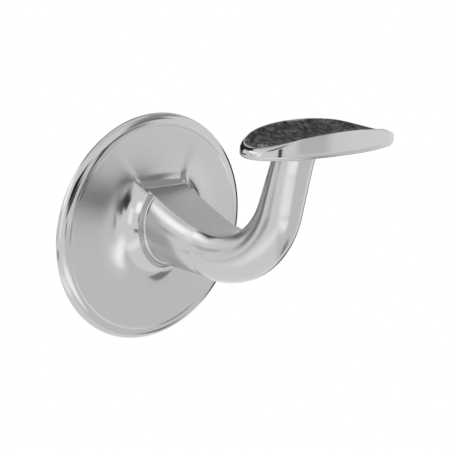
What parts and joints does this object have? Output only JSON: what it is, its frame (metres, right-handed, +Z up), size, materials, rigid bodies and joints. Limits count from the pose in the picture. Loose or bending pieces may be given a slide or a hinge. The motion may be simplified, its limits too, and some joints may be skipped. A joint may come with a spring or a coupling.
{
  "type": "handrail bracket",
  "caption": "Wall bracket for a handrail: round wall rose, flat-faced cast arm that turns up in one elbow, and a lens-shaped hollowed saddle that carries the rail.",
  "frame": {"origin": "centre of the rose's back face, on the wall plane", "axes": "+Y into the wall, so the arm stands out along -Y; +Z up; +X along the rail, towards the longer end of the saddle"},
  "size_m": [0.0816, 0.0773, 0.0859],
  "materials": {
    "polished_chrome": "mirror-polished chrome plate; the seat of the saddle is left dark and rough as cast"
  },
  "bodies": {
    "root": {"rose": "polished_chrome", "arm": "polished_chrome"}
  },
  "joints": []
}
